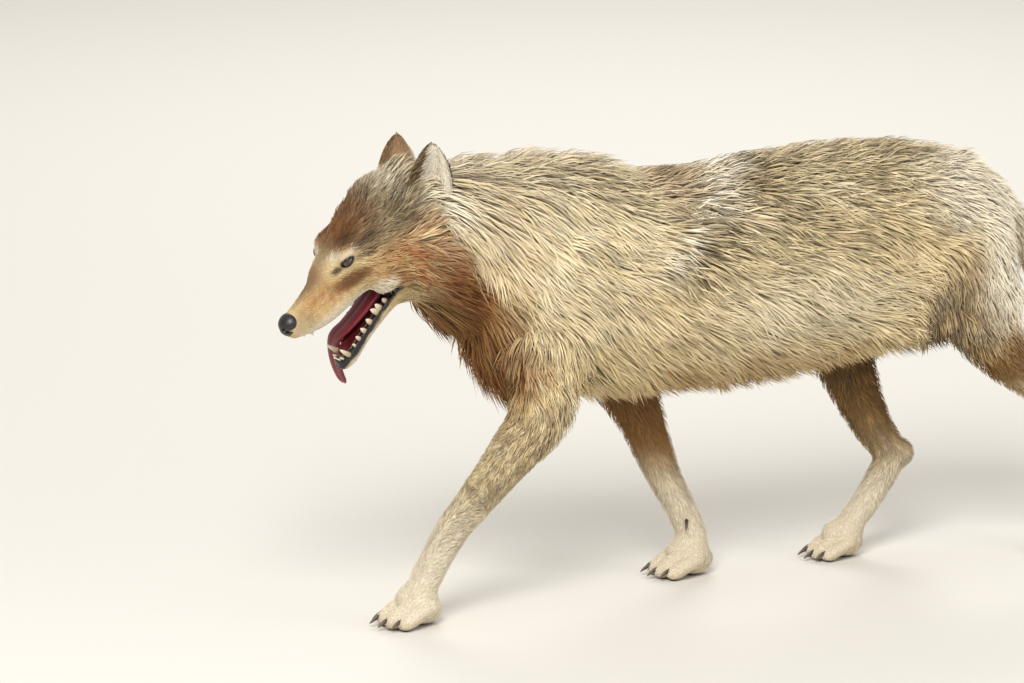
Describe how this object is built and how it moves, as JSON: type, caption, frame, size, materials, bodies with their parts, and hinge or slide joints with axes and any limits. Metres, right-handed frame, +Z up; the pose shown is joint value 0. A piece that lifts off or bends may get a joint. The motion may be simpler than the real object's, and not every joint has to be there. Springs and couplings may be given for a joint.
{
  "type": "wolf",
  "caption": "Life-size still model of a walking grey wolf with open mouth, hanging tongue and shaggy coat, standing on its own paws.",
  "frame": {"origin": "bottom centre of the bounding box, on the ground", "axes": "+X to the wolf's rear (it walks towards -X), +Y to its right side, +Z up"},
  "size_m": [1.5102, 0.2896, 0.8083],
  "materials": {
    "face_coat": "short close fur, tan and grey",
    "body_coat": "long shaggy fur, straw and grizzled brown",
    "tail_coat": "long soft fur, grey-brown",
    "ear_coat": "short fur, grey-brown",
    "leg_coat": "short close fur, pale cream",
    "nose_leather": "moist black skin",
    "tongue_flesh": "wet pink-red",
    "eye": "clear amber eye",
    "claw_horn": "dark horn"
  },
  "bodies": {
    "root": {"head": "face_coat", "lower_jaw": "face_coat", "neck": "body_coat", "trunk": "body_coat", "tail": "tail_coat", "ear_left": "ear_coat", "ear_right": "ear_coat", "foreleg_left_upper": "body_coat", "foreleg_left_forearm": "leg_coat", "foreleg_left_paw": "leg_coat", "foreleg_right_upper": "body_coat", "foreleg_right_forearm": "leg_coat", "foreleg_right_paw": "leg_coat", "hindleg_left_thigh": "body_coat", "hindleg_left_shank": "leg_coat", "hindleg_left_foot": "leg_coat", "hindleg_right_thigh": "body_coat", "hindleg_right_shank": "leg_coat", "hindleg_right_foot": "leg_coat", "nose": "nose_leather", "tongue": "tongue_flesh", "eye_left": "eye", "eye_right": "eye", "foreleg_left_claw_1": "claw_horn", "foreleg_left_claw_2": "claw_horn", "foreleg_left_claw_3": "claw_horn", "foreleg_left_claw_4": "claw_horn", "foreleg_left_dewclaw": "claw_horn", "foreleg_right_claw_1": "claw_horn", "foreleg_right_claw_2": "claw_horn", "foreleg_right_claw_3": "claw_horn", "foreleg_right_claw_4": "claw_horn", "foreleg_right_dewclaw": "claw_horn", "hindleg_left_claw_1": "claw_horn", "hindleg_left_claw_2": "claw_horn", "hindleg_left_claw_3": "claw_horn", "hindleg_left_claw_4": "claw_horn", "hindleg_right_claw_1": "claw_horn", "hindleg_right_claw_2": "claw_horn", "hindleg_right_claw_3": "claw_horn", "hindleg_right_claw_4": "claw_horn"}
  },
  "joints": []
}
